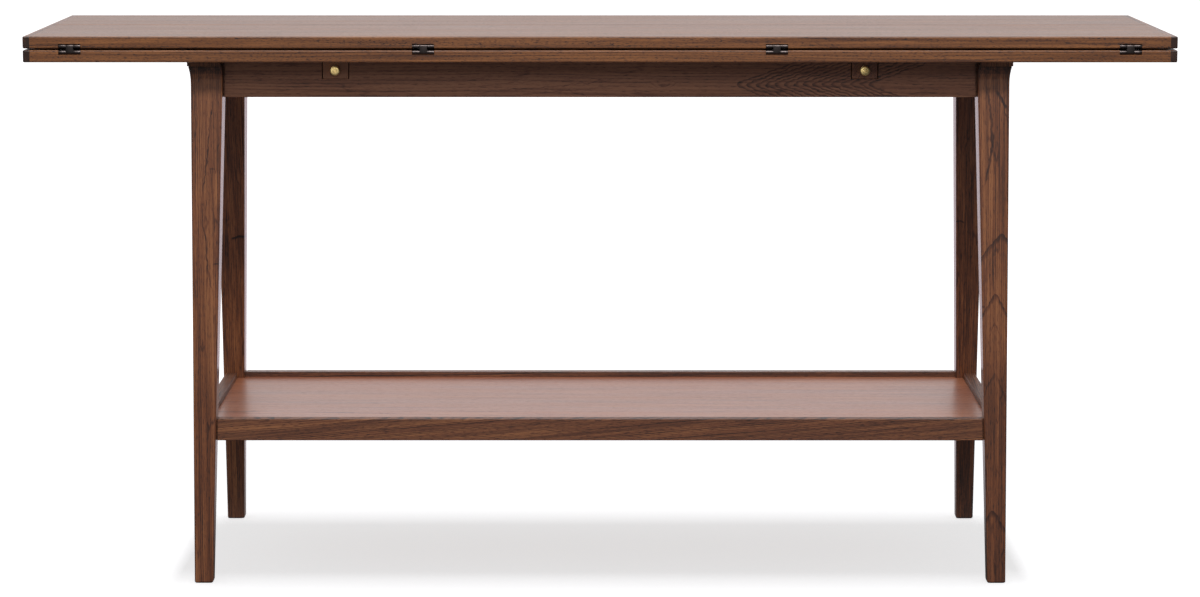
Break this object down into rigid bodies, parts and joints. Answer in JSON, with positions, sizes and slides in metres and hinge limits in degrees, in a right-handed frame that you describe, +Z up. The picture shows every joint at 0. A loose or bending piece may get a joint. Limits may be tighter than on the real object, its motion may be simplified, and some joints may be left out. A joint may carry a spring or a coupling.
{
  "type": "folding console table",
  "caption": "Slim console table whose two hinged leaves fold outward onto pull-out lopers to double the top, on splayed tapered legs with a low shelf",
  "frame": {"origin": "On the floor, below the middle of the table", "axes": "+X runs along the table to the right as seen from the front, -Y faces the front, +Z is up"},
  "size_m": [1.576, 0.4486, 0.762],
  "materials": {
    "top_oak": "walnut-stained oak veneer, satin lacquer, grain along the table",
    "end_lipping_oak": "solid oak strip across the end, walnut stain, end grain on the long edges",
    "leg_oak": "solid oak, walnut stain, satin lacquer, grain along the leg",
    "apron_oak": "solid oak, walnut stain, satin lacquer",
    "rail_oak": "solid oak, walnut stain, strongly figured",
    "shelf_oak": "oak veneer, walnut stain, satin lacquer",
    "loper_oak": "solid oak, walnut stain",
    "inner_beech": "planed hardwood, stained, unlacquered",
    "peg_beech": "turned beech dowel",
    "brass": "turned brass, satin polished and lacquered",
    "bronze": "steel with a dark bronze plating",
    "bronze_screws": "steel wood screws with a dark bronze plating",
    "zinc_screws": "zinc-plated steel wood screws",
    "pad_rubber": "soft dark rubber disc"
  },
  "bodies": {
    "base": {"bumper_pads": "pad_rubber", "corner_block_screws": "zinc_screws", "corner_blocks": "inner_beech", "fixed_top_end_lippings": "end_lipping_oak", "fixed_top_panel": "top_oak", "front_apron": "apron_oak", "front_hinge_bed_plates": "bronze", "front_left_leg": "leg_oak", "front_right_leg": "leg_oak", "guide_screws": "zinc_screws", "hinge_bed_pins": "bronze", "hinge_bed_screws": "bronze_screws", "left_apron": "apron_oak", "left_inner_guide": "inner_beech", "left_middle_guide": "inner_beech", "left_outer_guide": "inner_beech", "loper_stop_blocks": "inner_beech", "rear_apron": "apron_oak", "rear_hinge_bed_plates": "bronze", "rear_left_leg": "leg_oak", "rear_right_leg": "leg_oak", "right_apron": "apron_oak", "right_inner_guide": "inner_beech", "right_middle_guide": "inner_beech", "right_outer_guide": "inner_beech", "shelf_cleat_screws": "zinc_screws", "shelf_cleats": "inner_beech", "shelf_front_rail": "rail_oak", "shelf_left_rail": "rail_oak", "shelf_panel": "shelf_oak", "shelf_rear_rail": "rail_oak", "shelf_right_rail": "rail_oak"},
    "front_links": {"front_hinge_links": "bronze"},
    "front_leaf": {"front_hinge_leaf_pins": "bronze", "front_hinge_leaf_plates": "bronze", "front_hinge_leaf_screws": "bronze_screws", "front_leaf_end_lippings": "end_lipping_oak", "front_leaf_panel": "top_oak"},
    "rear_links": {"rear_hinge_links": "bronze"},
    "rear_leaf": {"rear_hinge_leaf_pins": "bronze", "rear_hinge_leaf_plates": "bronze", "rear_hinge_leaf_screws": "bronze_screws", "rear_leaf_end_lippings": "end_lipping_oak", "rear_leaf_panel": "top_oak"},
    "front_left_loper": {"front_left_loper_bar": "loper_oak", "front_left_loper_knob": "brass", "front_left_loper_stop_peg": "peg_beech"},
    "front_right_loper": {"front_right_loper_bar": "loper_oak", "front_right_loper_knob": "brass", "front_right_loper_stop_peg": "peg_beech"},
    "rear_left_loper": {"rear_left_loper_bar": "loper_oak", "rear_left_loper_knob": "brass", "rear_left_loper_stop_peg": "peg_beech"},
    "rear_right_loper": {"rear_right_loper_bar": "loper_oak", "rear_right_loper_knob": "brass", "rear_right_loper_stop_peg": "peg_beech"}
  },
  "joints": [
    {"name": "front_link_hinge", "type": "hinge", "parent": "base", "child": "front_links", "pos_m": [0, -0.2149, 0.7403], "axis": [1, 0, 0], "range_deg": [0, 90]},
    {"name": "front_leaf_hinge", "type": "hinge", "parent": "front_links", "child": "front_leaf", "pos_m": [0, -0.2149, 0.7484], "axis": [1, 0, 0], "range_deg": [0, 90]},
    {"name": "rear_link_hinge", "type": "hinge", "parent": "base", "child": "rear_links", "pos_m": [0, 0.2149, 0.7403], "axis": [-1, 0, 0], "range_deg": [0, 90]},
    {"name": "rear_leaf_hinge", "type": "hinge", "parent": "rear_links", "child": "rear_leaf", "pos_m": [0, 0.2149, 0.7484], "axis": [-1, 0, 0], "range_deg": [0, 90]},
    {"name": "front_left_loper_slide", "type": "slide", "parent": "base", "child": "front_left_loper", "axis": [0, -1, 0], "range_m": [0, 0.17]},
    {"name": "front_right_loper_slide", "type": "slide", "parent": "base", "child": "front_right_loper", "axis": [0, -1, 0], "range_m": [0, 0.17]},
    {"name": "rear_left_loper_slide", "type": "slide", "parent": "base", "child": "rear_left_loper", "axis": [0, 1, 0], "range_m": [0, 0.17]},
    {"name": "rear_right_loper_slide", "type": "slide", "parent": "base", "child": "rear_right_loper", "axis": [0, 1, 0], "range_m": [0, 0.17]}
  ]
}
